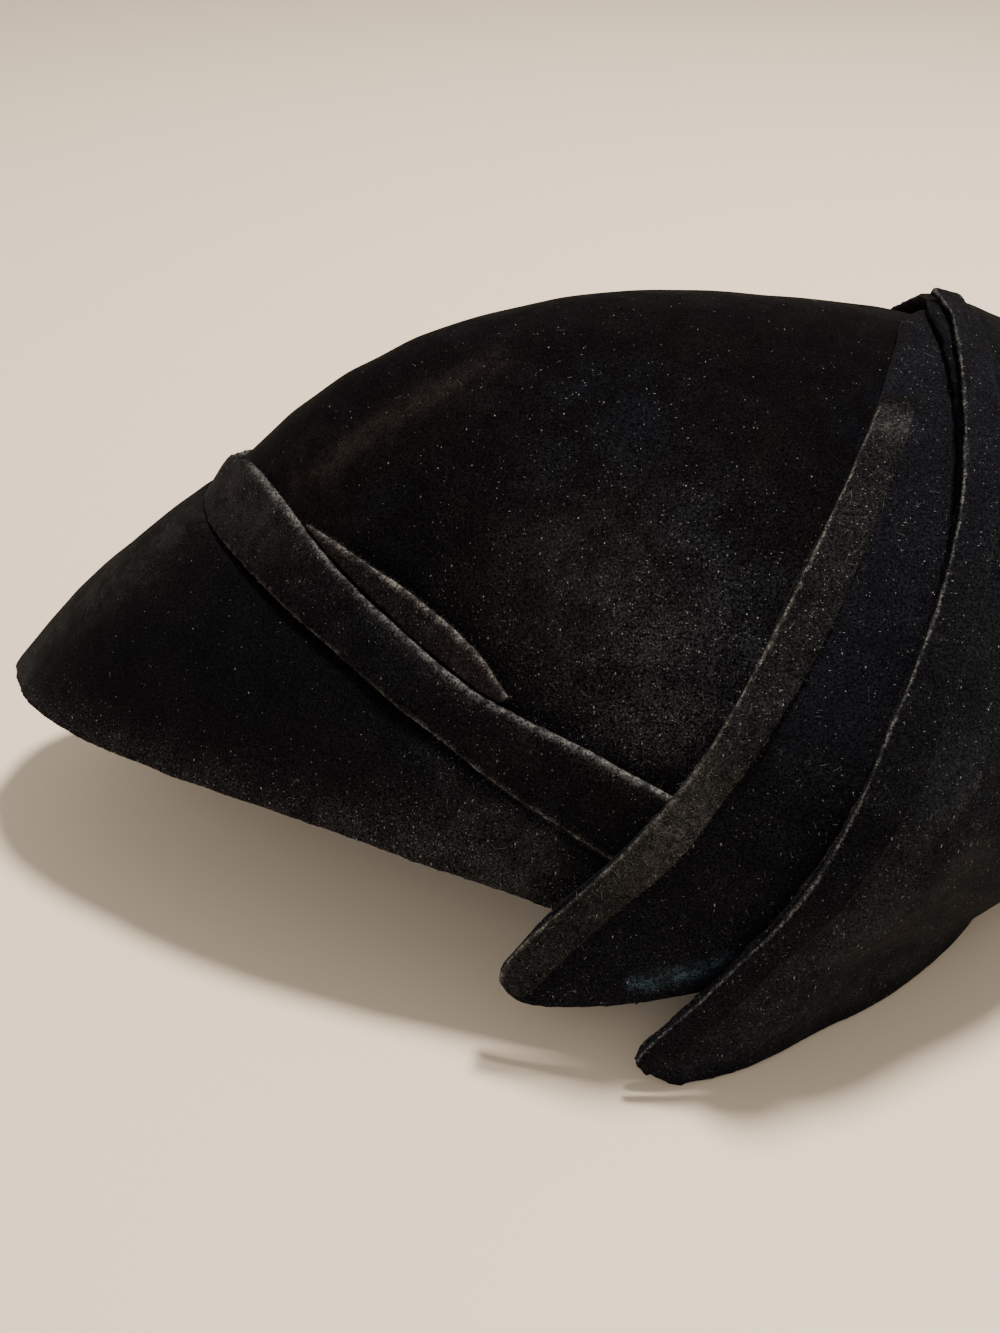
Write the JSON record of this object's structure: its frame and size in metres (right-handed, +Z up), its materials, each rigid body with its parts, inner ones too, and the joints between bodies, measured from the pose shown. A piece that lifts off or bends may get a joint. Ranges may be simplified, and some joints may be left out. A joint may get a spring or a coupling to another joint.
{
  "type": "hat",
  "caption": "Black velvet hat with a close crown, a drooping front brim, a narrow band with a tuck, and long overlapping wings that wrap the side and back.",
  "frame": {"origin": "centre of the bounding box's base, on the surface that the hat rests on", "axes": "+Z up from the surface, -X towards the hat's front brim, +Y to the wearer's right"},
  "size_m": [0.244, 0.179, 0.1091],
  "materials": {
    "crown_velvet": "black velvet pile with worn brownish patches",
    "brim_velvet": "black velvet pile with a greenish sheen",
    "band_velvet": "black velvet pile, pale along the folded edge",
    "tuck_velvet": "crushed velvet pile, reddish brown where worn",
    "wing_velvet": "black velvet pile with a bluish sheen",
    "cuff_velvet": "crushed velvet pile, olive brown",
    "rear_wing_velvet": "black velvet pile with a grey sheen",
    "rear_cuff_velvet": "black velvet pile, pale along the folded edge"
  },
  "bodies": {
    "root": {"crown": "crown_velvet", "brim": "brim_velvet", "band": "band_velvet", "band_tuck": "tuck_velvet", "front_wing": "wing_velvet", "front_cuff": "cuff_velvet", "rear_wing": "rear_wing_velvet", "rear_cuff": "rear_cuff_velvet"}
  },
  "joints": []
}
